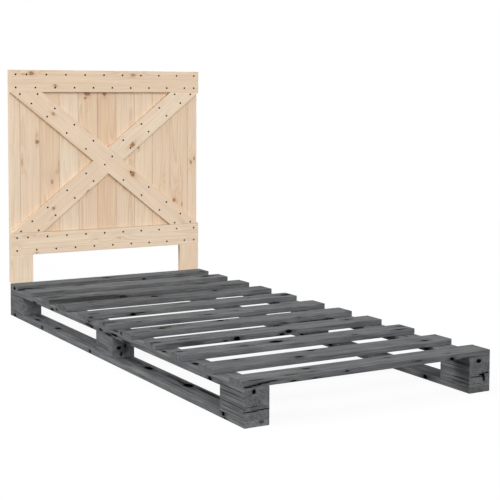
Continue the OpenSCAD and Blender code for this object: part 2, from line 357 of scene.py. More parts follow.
# %% [markdown]
# ## Where a board lay in its tree
#
# The grain on a board isn't a picture on its surface. It is the tree's growth rings, cut
# through. So each board also gets the place of its points in the log that it was sawn from:
# the pith runs along the log's own z axis, the rings are circles round it, and the material
# works out a ring from the distance to the pith. Faces, edges and ends then match by
# themselves.
#
# Knots and cracks are places inside the board too. A knot is a branch, so a spot that lies on
# an edge shows on both of the faces that meet there.

# %% What is known of a board
X, Y, Z = np.eye(3)


class Board:
    """One board: its place, the axes of its length, width and thickness, and its looks.

    A spot is (u, a, b, along, across, deep, strength): the place of a knot or crack in
    millimetres from the board's middle along its own axes, its half sizes, and how dark it is.
    The tone is (light, warmth, strength of the rings), and the pith is the place of the tree's
    middle from the board's own. A pocket is (u, radius) in metres: a screw hole in the middle
    of the side that the third axis points to. The faces are (painted light of the narrow side
    where the width starts, of the one where it ends, of the ends, and strength of the rings on
    the ends), as factors next to the wide sides: below 1 they paint shade, above 1 they paint
    light. The cuts are where the board starts and ends, and the ends are how far those slant
    for each metre of its width."""

    def __init__(self, name, centre, long, wide, size, spots=(), tone=(1.0, 0.4, 1.0),
                 faces=(1.0, 1.0, 1.0, 1.0), pith=None, edge=1.2, ends=(0.0, 0.0), cuts=None,
                 pockets=()):
        self.name = name
        self.centre = np.array(centre, float)
        self.axes = np.stack([long, wide, np.cross(long, wide)])
        self.length, self.width, self.thick = size
        self.tone = tone
        self.faces = faces
        self.edge = edge * MM
        self.ends = ends
        self.cuts = cuts or (-self.length / 2, self.length / 2)
        self.pockets = pockets
        self.random = np.random.default_rng(zlib.crc32(name.encode()))
        chance = (self.random.uniform(-500, 500) * self.width,
                  self.random.choice([-1, 1]) * self.random.uniform(35, 70))
        self.pith = np.array(pith or chance) * MM
        rows = np.array(spots, float).reshape(-1, 7)
        self.spot_places = rows[:, :3] * MM
        self.spot_sizes = rows[:, 3:6] * MM
        self.spot_strengths = rows[:, 6]


trial = Board("trial", (0, 0, 0), X, Y, (0.9, 0.088, 0.019), [(100, 0, 9.5, 12, 9, 12, 1)])
print(f"the pith ran {math.hypot(*trial.pith) / MM:.0f} mm from the middle of a trial board")

# %% [markdown]
# ## What the years do to a board
#
# Wood dries, cups and gets knocked. Each of these moves a face by a tenth of a millimetre or so,
# which is too little to see as a shape, and enough to break up the light along an edge. It could
# be painted on as bump, but real depth also shows where two boards meet.

# %% Wear
WAVE = 0.02 * MM
CUP = 0.12 * MM
EDGE_WEAR = 0.09 * MM
KNOT_DIP = 0.25 * MM
POCKET_DEPTH = 0.56 * MM
WALL_FOOT, WALL_TOP = 0.1 * MM, 0.7 * MM    # how far beyond a pocket's radius its wall stands
ON_THIRD = 0.9        # least share of the third axis in the outward direction on that side


def smooth_step(value, low, high):
    """0 up to low, 1 from high on, and t * t * (3 - 2 * t) between them."""
    t = np.clip((value - low) / (high - low), 0, 1)
    return t * t * (3 - 2 * t)


def waves(u, height, lengths, phases, shift):
    """The sum of height * (1 + sin(2 * pi * u / length + phase + shift)) over the lengths."""
    return sum(height * (1 + np.sin(2 * math.pi * u / long + phase + shift))
               for long, phase in zip(lengths, phases))


def wear(board, rows, ring, outward):
    """How far each point lies below the true face: waves, worn edges, knots and pockets.

    Edges lose more where the direction outward is slanted. A knot's dip is its depth times
    exp(-1.4 * d * d), with d from its middle and u from the middle of the board's length. A
    pocket is flat, with a wall that is a smooth step beyond its radius."""
    u = (rows[:, 1:2] - 0.5) * board.length
    a, b = ring[None, :, 0], ring[None, :, 1]
    third_side = outward[None, :, 1] > ON_THIRD
    phases = board.random.uniform(0, 2 * math.pi, 6)
    wave = waves(u, WAVE, (0.9, 0.43, 0.17), phases[:3], 40 * a)
    cup = CUP * (1 - (2 * a / board.width) ** 2) * third_side
    slant = np.abs(outward[:, 0] * outward[:, 1])[None] * 2
    last_side = outward[None, :, 0] > 0
    worn = waves(u, EDGE_WEAR, (0.31, 0.11, 0.047), phases[3:], 3 * last_side) * slant
    dip, hole = 0, 0
    for place, size in zip(board.spot_places, board.spot_sizes):
        d2 = (((u - place[0]) / size[0]) ** 2 + ((a - place[1]) / size[1]) ** 2
              + ((b - place[2]) / size[2]) ** 2)
        dip = dip + KNOT_DIP * np.exp(-d2 * 1.4)
    for place, radius in board.pockets:
        distance = np.hypot(u - place, a)
        open_here = 1 - smooth_step(distance, radius + WALL_FOOT, radius + WALL_TOP)
        hole = np.maximum(hole, open_here * third_side)
    return wave + cup + worn + dip + hole * POCKET_DEPTH


# %% The points of a board
REACH = 1.2                 # half sizes from the middle of a spot to its outer stations
KNOT_STATIONS, POCKET_STATIONS = 9, 17
STRIP = 1.4                 # radii from the middle of a pocket to the edge of its fine strip


def grid(board):
    """The board's points in its own axes, as stations by ring points by three.

    A station's u is start * (1 - share) + end * share, and a slanted end moves it by its slope
    times a. The wear moves a point inwards, against its outward direction."""
    strip = max((STRIP * radius for _, radius in board.pockets), default=0.0)
    ring, outward = section(board.width, board.thick, board.edge, strip)

    def around(u, half, count):
        return (u + np.linspace(-REACH, REACH, count) * half - board.cuts[0]) / board.length

    dense = [around(u, half, KNOT_STATIONS)
             for u, half in zip(board.spot_places[:, 0], board.spot_sizes[:, 0])]
    dense += [around(u, radius, POCKET_STATIONS) for u, radius in board.pockets]
    rows = stations(board.length, dense)
    inset = rows[:, 3:4] + wear(board, rows, ring, outward)
    a = ring[None, :, 0] - outward[None, :, 0] * inset
    b = ring[None, :, 1] - outward[None, :, 1] * inset
    start = board.cuts[0] + board.ends[0] * a
    end = board.cuts[1] + board.ends[1] * a
    u = start * rows[:, 0:1] + end * rows[:, 1:2] + rows[:, 2:3]
    return np.stack([u, a, b], -1)


lost = (trial.thick / 2 - grid(trial)[:, :, 2].max(1))[END_POINTS:-END_POINTS] / MM
print(f"the trial board's top lies {lost.min():.2f} to {lost.max():.2f} mm below a true one")

# %% [markdown]
# ## What a material can read
#
# A material knows only where it is shading, and what the mesh keeps there. So each point of a
# board keeps its place on the board, its place in the log, its tone with the painted light and
# shade of its side, and the places, sizes and strengths of the board's spots. One material can
# then serve every board.

# %% Tones and attributes
SPOTS = 16
FAR_AWAY = (-9.0, -9.0, -9.0)


def write_vector(mesh, name, values):
    """Keeps one vector at each vertex, from an array of rows or a single row for all."""
    rows = np.broadcast_to(np.asarray(values, np.float32), (len(mesh.vertices), 3))
    layer = mesh.attributes.new(name, "FLOAT_VECTOR", "POINT")
    layer.data.foreach_set("vector", np.ascontiguousarray(rows).ravel())


def tones(board, local, count):
    """The tone of each point, with the board's painted light and shade on its narrow sides and
    ends. A narrow side counts by where a point lies across the board: share = 1 within half a
    rounded edge of the side, and 0 from 1.2 of them on."""
    first, second, end, rings = board.faces
    share = smooth_step(np.abs(local[:, 1]), board.width / 2 - 1.2 * board.edge,
                        board.width / 2 - 0.5 * board.edge)
    tone = np.tile(np.array(board.tone, float), (len(local), 1))
    tone[:, 0] *= 1 + (np.where(local[:, 1] < 0, first, second) - 1) * share
    last = len(local) // count
    for stop in (slice(None, last), slice(-last, None)):
        tone[stop, 0] = board.tone[0] * end
        tone[stop, 2] = board.tone[2] * rings
    return tone


def describe(board, mesh, local, count):
    """Writes the attributes that the wood materials read."""
    lean = board.random.uniform(-0.012, 0.012, 2)
    away = board.random.uniform(0, 40)
    log = np.stack([local[:, 1] - board.pith[0] + lean[0] * local[:, 0],
                    local[:, 2] - board.pith[1] + lean[1] * local[:, 0],
                    local[:, 0] + away], 1)
    write_vector(mesh, "board", local)
    write_vector(mesh, "log", log)
    write_vector(mesh, "tone", tones(board, local, count))
    strengths = np.zeros(3 * math.ceil(SPOTS / 3))
    strengths[:len(board.spot_strengths)] = board.spot_strengths
    for k in range(SPOTS):
        held = k < len(board.spot_places)
        write_vector(mesh, f"spot_{k}", board.spot_places[k] if held else FAR_AWAY)
        write_vector(mesh, f"spot_{k}_size", board.spot_sizes[k] if held else (1, 1, 1))
    for k, three in enumerate(strengths.reshape(-1, 3)):
        write_vector(mesh, f"strength_{k}", three)


print(f"each board has room for {SPOTS} knots and cracks")


# %% The mesh of a board
def build(board):
    """The board as a closed mesh of quads with a face at each end."""
    points = grid(board)
    count, ring = points.shape[:2]
    local = points.reshape(-1, 3)
    index = np.arange(count * ring).reshape(count, ring)
    here, there = index[:-1], index[1:]
    quads = np.stack([here, np.roll(here, -1, 1), np.roll(there, -1, 1), there], -1)
    faces = quads.reshape(-1, 4).tolist() + [index[0, ::-1].tolist(), index[-1].tolist()]
    mesh = bpy.data.meshes.new(board.name + "_wood")
    mesh.from_pydata((local @ board.axes + board.centre).tolist(), [], faces)
    smooth = np.ones(len(faces), bool)
    smooth[-2:] = False
    mesh.polygons.foreach_set("use_smooth", smooth)
    describe(board, mesh, local, count)
    made = bpy.data.objects.new(board.name + "_wood", mesh)
    bpy.context.scene.collection.objects.link(made)
    return made


print(f"the trial board has {grid(trial).size // 3} points")

# %% [markdown]
# ## Wood as a pattern in space
#
# Both woods are pine, so both read the same pattern: growth rings from the distance to the
# pith, fine fibres that run along the board, broad streaks, and the knots of each board. What
# differs is the finish, bare or stained, and that is only a matter of colours.

# %% The knots
STAIN_REACH = (0.36, 0.68, 0.68)  # one over how far the stain goes along, across and deep
FAR_OFF = 9.0                     # the nearness where there is no knot at all


def knots(s, board, log, rough):
    """Sockets for the bodies of the knots, the stained wood round them, and their nearness.

    d = |(place - middle) / half sizes| for each spot, made rough by noise. A body is 1 inside
    d = 1, the stain reaches nearly three times as far along the grain, and both are times the
    strength."""
    ragged = s.math("MULTIPLY_ADD", s.noise(log, (260, 260, 120), 3), rough, -0.5 * rough)
    near, body, stain = FAR_OFF, 0.0, 0.0
    for k in range(SPOTS):
        if k % 3 == 0:
            strengths = s.parts(s.attribute(f"strength_{k // 3}"))
        offset = s.vector("SUBTRACT", board, s.attribute(f"spot_{k}"))
        scaled = s.vector("DIVIDE", offset, s.attribute(f"spot_{k}_size"))
        d = s.vector("LENGTH", scaled, out="Value")
        drawn = s.vector("LENGTH", s.vector("MULTIPLY", scaled, STAIN_REACH), out="Value")
        inside = s.step(s.math("ADD", d, ragged), 0.85, 1.15, 1.0, 0.0)
        around = s.step(s.math("MULTIPLY_ADD", ragged, 0.7, drawn), 0.45, 1.3, 1.0, 0.0)
        near = s.math("MINIMUM", near, d)
        body = s.math("MAXIMUM", body, s.math("MULTIPLY", inside, strengths[k % 3]))
        stain = s.math("MAXIMUM", stain, s.math("MULTIPLY", around, strengths[k % 3]))
    return body, stain, near


# %% The pattern of pine
BARE_RING, STAINED_RING = 3.8 * MM, 5.2 * MM
SHIFT = (3.1, 7.7, 1.3)           # to a part of the noise that looks unlike the first


def pine_pattern(s, ring, rough):
    """Sockets for the rings, fibres, streaks and knots of pine.

    A season is fract(distance to the pith / ring), drawn out round the knots and made uneven
    by noise. It darkens slowly to its late wood and ends sharply, and no two years are alike."""
    board, log = s.attribute("board"), s.attribute("log")
    body, stain, near = knots(s, board, log, rough)
    x, y, _ = s.parts(log)
    distance = s.math("SQRT", s.math("ADD", s.math("MULTIPLY", x, x), s.math("MULTIPLY", y, y)))
    sway = s.math("MULTIPLY", s.noise(log, (7, 7, 1.6), 2), 0.016)
    ripple = s.math("MULTIPLY", s.noise(log, (60, 60, 9), 2), 0.003)
    swell = s.math("MULTIPLY", s.math("EXPONENT", s.math("MULTIPLY", near, -0.7)), 0.014)
    grown = s.math("ADD", s.math("ADD", distance, swell), s.math("ADD", sway, ripple))
    years = s.math("DIVIDE", grown, ring)
    season = s.math("FRACT", years)
    late = s.math("MULTIPLY", s.step(season, 0.35, 0.9), s.step(season, 0.93, 1.0, 1.0, 0.0))
    year = s.add("ShaderNodeTexWhiteNoise", {"W": s.math("FLOOR", years)}, noise_dimensions="1D")
    shifted = s.vector("ADD", log, SHIFT)
    return {
        "log": log, "shifted": shifted, "body": body, "stain": stain, "late": late, "year": year,
        "fibre": s.noise(log, (750, 750, 16), 3, 0.6),
        "streak": s.noise(log, (150, 150, 5), 3, 0.6),
        "band": s.noise(log, (48, 48, 1.2), 2),
        "cloud": s.noise(shifted, (30, 30, 11), 3),
    }


def wood_surface(s, base, roughness, gloss, height, depth):
    """A surface of that colour, roughness, gloss and relief."""
    bump = s.add("ShaderNodeBump", {"Strength": 1.0, "Distance": depth, "Height": height})
    surface = s.add("ShaderNodeBsdfPrincipled", {"Base Color": base, "Roughness": roughness,
                                                 "Specular IOR Level": gloss, "Normal": bump})
    s.add("ShaderNodeOutputMaterial", {"Surface": surface})


print(f"a year is {BARE_RING / MM:.1f} mm wide in bare pine, {STAINED_RING / MM:.1f} in stained")

# %% [markdown]
# ## Bare pine
#
# Planed pine is cream, with thin honey-coloured late wood in each ring, and bands of rosier and
# darker wood along the grain. Its knots are brown, and the wood round them is a shade warmer.
# No two planks come from the same tree, so the warmth of a board runs from cream to tan, and is
# chosen for each one.

# %% Bare pine
def bare_pine():
    """Cream early wood, honey late wood and brown knots."""
    material = bpy.data.materials.new("bare_pine")
    material.use_nodes = True
    s = Shader(material.node_tree)
    p = pine_pattern(s, BARE_RING, 1.5)
    light, warm, grain = s.parts(s.attribute("tone"))
    base = s.mix(warm, colour(238, 220, 196), colour(229, 199, 169))
    other_band = s.noise(p["shifted"], (40, 40, 0.9))
    for field, low, high, start, end, tint in (
            (p["band"], 0.44, 0.7, 0.0, 0.3, (230, 199, 173)),         # rosy
            (other_band, 0.48, 0.72, 0.0, 0.2, (217, 188, 152)),       # tan
            (p["cloud"], 0.5, 0.7, 0.0, 0.35, (229, 205, 187)),        # blush
            (p["cloud"], 0.3, 0.5, 0.3, 0.0, (231, 211, 176))):        # honey
        base = s.mix(s.step(field, low, high, start, end), base, colour(*tint))
    shade = s.math("MULTIPLY", s.math("MULTIPLY_ADD", p["year"], 0.7, 0.3), p["late"])
    lines = s.math("MULTIPLY", s.math("MULTIPLY", shade, 0.5), grain)
    base = s.mix(lines, base, colour(196, 154, 113))
    base = s.scale(base, s.math("MULTIPLY_ADD", p["fibre"], 0.18, 0.91))
    base = s.scale(base, s.math("MULTIPLY_ADD", p["streak"], 0.3, 0.85))
    # The tone's light: the board's brightness, with painted light and shade on its narrow sides
    # and ends.
    base = s.scale(base, light)
    base = s.mix(s.math("MULTIPLY", p["stain"], 0.55), base, colour(204, 162, 122))
    body = s.math("MULTIPLY", p["body"], s.step(p["body"], 0.15, 0.65))
    base = s.mix(body, base, colour(152, 104, 68))
    relief = s.math("ADD", s.math("MULTIPLY", shade, 0.5), s.math("MULTIPLY", p["fibre"], 0.7))
    roughness = s.math("MULTIPLY_ADD", p["fibre"], 0.14, 0.56)
    wood_surface(s, base, roughness, 0.22, relief, 0.12 * MM)
    return material


pine = bare_pine()
print(f"bare pine is a graph of {len(pine.node_tree.nodes)} nodes")

# %% [markdown]
# ## Grey stain
#
# A translucent grey stain over pine keeps the grain. The soft early wood drinks more of it than
# the hard late wood, fine cracks fill with it, and the knots turn nearly black. It is thicker
# in some places than in others, so the same board runs from pale to dark streaks.

# %% Grey stain
def grey_stain():
    """Grey wood with darker rings, dark veins, hairline cracks and black knots."""
    material = bpy.data.materials.new("grey_stain")
    material.use_nodes = True
    s = Shader(material.node_tree)
    p = pine_pattern(s, STAINED_RING, 1.0)
    light, _, grain = s.parts(s.attribute("tone"))
    base = s.mix(s.step(p["cloud"], 0.4, 0.65), colour(105, 106, 109), colour(105, 107, 107))
    shade = s.math("MULTIPLY", s.math("MULTIPLY_ADD", p["year"], 0.8, 0.2), p["late"])
    lines = s.math("MULTIPLY", s.math("MULTIPLY", shade, 0.62), grain, clamp=True)
    base = s.mix(lines, base, colour(54, 56, 58))
    for field, gain, least in (("fibre", 0.5, 0.78), ("streak", 1.4, 0.3), ("band", 0.6, 0.7),
                               ("cloud", 0.8, 0.6)):
        base = s.scale(base, s.math("MULTIPLY_ADD", p[field], gain, least))
    vein = s.math("MULTIPLY", s.step(s.noise(p["shifted"], (110, 110, 8), 3), 0.56, 0.7), 0.55)
    base = s.mix(vein, base, colour(60, 62, 64))
    # The tone's light: the board's brightness, with painted light and shade on its narrow sides
    # and ends.
    base = s.scale(base, light)
    split = s.step(s.noise(p["log"], (210, 210, 5), 2), 0.68, 0.76)
    base = s.mix(s.math("MULTIPLY", split, 0.55), base, colour(34, 35, 37))
    base = s.mix(s.math("MULTIPLY", p["stain"], 0.62), base, colour(46, 47, 49))
    base = s.mix(p["body"], base, colour(8, 8, 9))
    relief = s.math("SUBTRACT", s.math("MULTIPLY", p["fibre"], 0.8),
                    s.math("MULTIPLY", split, 0.8))
    roughness = s.math("MULTIPLY_ADD", p["fibre"], 0.15, 0.66)
    gloss = s.math("MULTIPLY_ADD", p["body"], -0.12, 0.12)
    wood_surface(s, base, roughness, gloss, relief, 0.2 * MM)
    return material


stain = grey_stain()
print(f"grey stain is a graph of {len(stain.node_tree.nodes)} nodes")

# %% [markdown]
# ## The slats
#
# Eleven boards lie across the base, a little unevenly spaced. Each takes its place and size
# from its node's box. Where its knots lie is what tells one slat from the next, so they are
# set one by one, in millimetres from the slat's middle. Seven numbers are a full spot, with -44
# for a place on the front edge. Most lie on the top, and their five leave out what is the same.

# %% Boards from boxes
TOP_FACE = (2, 10, 12)       # along z, 10 mm above the middle, 12 mm deep
boards = []


def dress(piece, material, slot, *replaced):
    """Gives a piece its material and body, and hides the nodes that it stands for. The slot is not
    used.
    """
    piece.data.materials.append(material)
    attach(piece, "root")
    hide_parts(*replaced)
    return piece


def board_from_box(node, long, wide, material, slot, spots, **looks):
    """Builds the board that fills a node's box and puts it in the node's place.

    A spot here is (x, y, z, along, across, deep, strength), with its place along the frame's
    axes."""
    low, high = (np.array(corner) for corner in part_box(node))
    axes = np.stack([long, wide, np.cross(long, wide)])
    turned = [(*(axes @ spot[:3]), *spot[3:]) for spot in spots]
    board = Board(node, (low + high) / 2, long, wide, np.abs(axes @ (high - low)), turned, **looks)
    boards.append(dress(build(board), material, slot, node))


def on_face(spots, axis, place, deep):
    """Spots in full, where those of five numbers lack a place along an axis and a depth."""
    return [spot if len(spot) == 7 else (*spot[:axis], place, *spot[axis:4], deep, spot[4])
            for spot in spots]


def report(what):
    """Prints how many boards were made since the last report, and their size as meshes."""
    faces = sum(len(board.data.polygons) for board in boards)
    print(f"{what}: {len(boards)} boards, {faces} faces")
    boards.clear()


print(f"(1, 2, 3, 4, 0.5) on a top: {on_face([(1, 2, 3, 4, 0.5)], *TOP_FACE)[0]} in full")

# %% Slats
SLAT_SPOTS = {
    1: [(-415, -44, -5, 32, 6, 5, 0.55), (128, -44, -2, 6, 6, 5, 0.9),
        (-450, -7, -4, 10, 11, 7, 1), (-32, 3, 20, 11, 0.95), (264, -23, 20, 6, 0.4),
        (420, -33, 13, 9, 0.9)],
    2: [(372, 14, 22, 14, 1), (390, 14, 34, 7, 0.5), (-216, 36, 20, 8, 0.4),
        (-379, 37, 16, 8, 0.45)],
    3: [(-137, -44, -4, 18, 7, 6, 0.75), (-300, -44, 0, 160, 6, 11, 0.4), (-304, -28, 18, 9, 0.5),
        (-232, -16, 18, 10, 0.5), (148, 32, 16, 6, 0.45), (265, 34, 28, 11, 0.75),
        (-410, 6, 34, 18, 0.5)],
    4: [(-54, 21, 16, 13, 1), (-38, 26, 20, 5, 0.4), (221, 28, 13, 10, 0.95),
        (243, 35, 26, 6, 0.5), (-328, 18, 14, 8, 0.5), (184, -32, 14, 6, 0.3)],
    5: [(-266, -44, -1, 11, 7, 6, 1), (-236, -44, 2, 24, 6, 2.2, 0.8),
        (-434, -44, 2, 8, 6, 4, 0.6), (170, -44, -9, 10, 6, 3, 0.4), (343, -44, -8, 9, 6, 3, 0.35),
        (419, -3, 20, 15, 1), (260, 11, 14, 7, 0.5), (-28, 20, 20, 11, 0.45),
        (-415, -20, 24, 12, 0.45)],
    6: [(-54, -31, 18, 9, 0.7), (-329, -32, 14, 8, 0.5), (75, -9, 12, 7, 0.5),
        (-430, 2, 26, 18, 0.5)],
    7: [(-70, 28, 14, 10, 1), (-310, 4, 16, 13, 0.85), (-278, 20, 12, 7, 0.8),
        (-427, 31, 14, 10, 0.75), (445, -31, 8, 8, 0.9), (216, -41, 10, 5, 0.3),
        (-400, -27, 36, 9, 0.35), (-236, 16, 16, 8, 0.35), (148, -44, -9, 10, 6, 4, 0.6),
        (338, -44, -9, 10, 6, 4, 0.5), (-450, 37, -2, 8, 7, 6, 0.7)],
    8: [(-147, -44, -2, 12, 8, 8, 1), (57, -44, 4, 13, 9, 6, 1), (50, 35, 34, 8, 0.7),
        (54, 38, 12, 10, 1), (30, -44, -4, 9, 6, 5, 1), (-191, -44, -5, 9, 6, 4, 0.7),
        (-318, -44, -2, 44, 6, 7, 0.3), (335, 14, 12, 8, 0.8), (-435, -16, 18, 13, 0.6),
        (-332, -13, 26, 10, 0.5), (-72, 28, 22, 7, 0.6)],
    9: [(-83, 0, 25, 13, 1), (392, -31, 16, 10, 0.8), (396, -31, 40, 8, 0.5),
        (208, -29, 13, 8, 0.65), (-207, -9, 20, 14, 0.5), (-427, 17, 11, 8, 0.7),
        (431, 11, 20, 9, 0.55)],
    10: [(-140, -30, 15, 11, 0.9), (-60, 29, 12, 8, 0.9), (352, -24, 13, 9, 0.95),
         (-327, 31, 12, 7, 0.6), (444, 36, 8, 7, 0.7), (330, -44, -8, 10, 6, 3, 0.35)],
    11: [(-438, -44, -7, 18, 6, 2, 1), (-412, -44, -3.5, 20, 6, 2, 1), (-386, -44, 0, 20, 6, 2, 1),
         (-358, -44, 3, 18, 6, 1.6, 0.9), (-287, -44, -7, 9, 6, 4, 0.9),
         (-213, -44, -7, 9, 6, 4, 0.6), (296, -44, -6, 9, 7, 6, 1),
         (360, -44, -7, 28, 6, 2.5, 0.5), (-410, -36, 30, 6, 0.65), (-289, -30, 24, 7, 0.5),
         (-206, 14, 15, 9, 0.75), (-100, -44, 2, 6, 6, 2.5, 0.9), (-212, -27, 14, 6, 0.4),
         (92, 18, 14, 8, 0.45), (164, -44, 3, 14, 6, 2.5, 0.5), (296, -22, 12, 6, 0.4)],
}
# Each slat's brightness, and painted light on its front and back edges as a factor next to its
# top: below 1 it paints shade there, above 1 light.
SLAT_TONE_AND_PAINTED_SIDES = {1: (0.97, 0.95), 2: (1, 0.98), 3: (0.82, 1.15), 4: (0.72, 1.4), 5: (0.9, 1.2),
              6: (0.93, 1.09), 7: (0.96, 1.07), 8: (1.03, 0.9), 9: (0.98, 1.01), 10: (0.92, 1.16),
              11: (0.97, 0.93)}
for number, spots in SLAT_SPOTS.items():
    top, side = SLAT_TONE_AND_PAINTED_SIDES[number]
    board_from_box(f"slat_{number:02d}", X, Y, stain, "grey_stained_pine",
                   on_face(spots, *TOP_FACE), edge=1.1, tone=(top, 0, 0.8),
                   faces=(side, side, 1.0, 0.4))
report("slats")

# %% [markdown]
# ## Runners and stringers
#
# Two boards on each side run from head to foot, one on the floor and one on the blocks. They
# are screwed from below, the runners to the blocks and the stringers to the slats, with the
# heads just under the face. A pocket is left over each head, and the places are those of the
# joints: a quarter of a block, or of a slat, to both sides of its middle.

# %% Where the screws go in
SMALL_HEAD, BLOCK_HEAD = 4.05 * MM, 5.05 * MM
bed_middle = sum(corner[1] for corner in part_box("left_runner")) / 2


def crossings(pieces, radius):
    """Pockets a quarter of each piece's size to both sides of its middle, along the bed."""
    found = []
    for piece in pieces:
        low, high = (corner[1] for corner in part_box(piece))
        found += [((low + high) / 2 + way * 0.25 * (high - low) - bed_middle, radius)
                  for way in (-1, 1)]
    return found


block_pockets = crossings([f"left_{at}_block" for at in ("head", "middle", "foot")], BLOCK_HEAD)
slat_pockets = crossings([f"slat_{k:02d}" for k in range(1, 12)], SMALL_HEAD)
print(f"{len(block_pockets)} pockets under a runner and {len(slat_pockets)} under a stringer")

# %% Runners and stringers
BEAM_SPOTS = {
    "left_runner": [
        (-41, 946, -1, 9, 7, 7, 1), (-41, 623, 0, 8, 8, 7, 0.9), (-42, 131, -2, 7, 7, 7, 1),
        (-41, -877, 5, 9, 7, 7, 1), (-41, -887, -7, 10, 7, 4, 0.8), (16, -541, 10, 25, 15, 12, 1),
        (16, -500, 10, 44, 6, 8, 0.8), (9, -260, 10, 25, 12, 12, 1), (-10, 532, 10, 13, 11, 12, 1),
        (-16, 740, 10, 15, 9, 12, 0.95), (25, -660, 10, 75, 8, 8, 0.75),
        (17, 800, 10, 40, 14, 10, 0.4), (14, -123, 10, 70, 14, 10, 0.5),
        (21, -425, 10, 50, 10, 10, 0.45), (15, -1000, 3, 8, 8, 5, 0.5)],
    "right_runner": [
        (-41, -776, -1, 10, 7, 6, 1), (-41, -209, 2, 14, 7, 5, 1), (-41, -9, 6, 15, 7, 4, 1),
        (22, -464, 10, 16, 6, 10, 0.6)],
    "left_stringer": [
        (-10, -1000, -2, 8, 6, 7, 1), (-41, 510, -4, 11, 7, 6, 0.95),
        (-41, 706, -6, 18, 7, 4, 0.8), (-42, 140, -1, 44, 7, 4, 0.9),
        (-41, 113, -5, 10, 7, 4, 0.95), (-42, 31, 0, 16, 7, 5, 0.8), (-41, -40, -5, 30, 7, 4, 0.9),
        (-42, -89, 2, 30, 7, 4, 1), (-41, -190, -5, 40, 7, 4, 0.8), (-41, -793, -3, 10, 7, 6, 1),
        (-41, -920, -5, 80, 7, 1.5, 0.7), (-16, -652, 10, 15, 9, 10, 1),
        (-23, -446, 10, 12, 6, 10, 1), (-37, 142, 10, 14, 5, 8, 0.8),
        (-24, -62, 10, 17, 8, 10, 0.7), (-42, 461, 4, 9, 7, 5, 0.7)],
    "right_stringer": [
        (-4, -1000, -4, 8, 9, 6.5, 1), (-41, -781, -1, 13, 7, 5, 0.9),
        (-13, -622, 10, 14, 8, 10, 0.3)],
}
# Painted light on each beam: the top is painted lighter by a factor above 1 and darker below it,
# and the sides get the second factor next to the top. The ends get painted shade, 0.8.
BEAM_PAINTED_LIGHT = {"left_runner": (1.33, 0.77), "right_runner": (0.82, 1.32)}
for node, spots in BEAM_SPOTS.items():
    top, side = BEAM_PAINTED_LIGHT.get(node, (1.08, 0.95))
    pockets = block_pockets if node.endswith("runner") else slat_pockets
    board_from_box(node, Y, X, stain, "grey_stained_pine", spots, edge=1.2, tone=(top, 0, 0.8),
                   faces=(side, side, 0.8, 0.5), pockets=pockets)
report("runners and stringers")

# %% [markdown]
# ## The blocks
#
# The blocks are cut from thick beams near the middle of the tree, so their rings show as wide
# arcs on the end grain and as dense lines along the sides. The foot blocks have dried out and
# split: a dark crack runs across each of their ends.

# %% Blocks
BLOCK_SPOTS = {
    "left_head_block": [(-41, 0, -32, 70, 5, 1.3, 0.6), (-41, 10, 8, 60, 5, 1, 0.4)],
    "left_foot_block": [
        (-21, -72, -11.5, 5, 25, 1.5, 1), (20, -72, -9, 5, 26, 1.5, 1),
        (0, -72, 2, 5, 34, 1.2, 0.5), (-41, 0, -2, 75, 5, 1.1, 0.6),
        (-41, 10, -16, 60, 5, 1.1, 0.6), (-41, -5, -28, 70, 5, 1.1, 0.5),
        (-41, 0, 19, 60, 5, 1, 0.5), (-41, 0, 28, 70, 5, 1, 0.5)],
    "left_middle_block": [
        (-17, -73, -1, 8, 8, 6, 1), (-8, -73, -23, 7, 4, 8, 0.9), (7, -73, 5, 7, 3.5, 9, 0.9),
        (0, -73, -8, 6, 18, 18, 0.35)],
    "right_foot_block": [
        (14, -72, -3, 9, 6, 8, 1), (18, -72, -14, 9, 4, 9, 1), (5, -72, 0, 9, 8, 2.8, 0.95),
        (28, -72, 3, 9, 9, 2.2, 0.9), (-10, -72, -6, 5, 30, 1.4, 0.95),
        (-41, -26, 32, 42, 5, 1.5, 0.7), (-41, -24, -15, 34, 5, 1.8, 0.75),
        (-41, 10, 8, 55, 5, 1.1, 0.5), (-41, 0, -27, 60, 5, 1.1, 0.5),
        (-41, 5, 20, 60, 5, 1.1, 0.5)],
}
BLOCK_LOOKS = {             # the pith, the tone, and the ends' painted light (shade below 1) and rings
    "left_head_block": ((30, 110), (0.88, 0, 1), (1.6, 0.6)),
    "left_middle_block": ((120, 10), (0.94, 0, 1.2), (1.3, 0.6)),
    "left_foot_block": ((10, 150), (0.94, 0, 1.5), (1, 0.8)),
    "right_foot_block": ((-20, 120), (1.12, 0, 2.0), (0.8, 0.8)),
}
for side in ("left", "right"):
    for at in ("head", "middle", "foot"):
        node = f"{side}_{at}_block"
        pith, tone, ends = BLOCK_LOOKS.get(node, ((30, 110), (1, 0, 1.2), (1, 1)))
        board_from_box(node, Y, X, stain, "grey_stained_pine", BLOCK_SPOTS.get(node, ()),
                       edge=0.8, pith=pith, tone=tone, faces=(1, 1, *ends))
report("blocks")
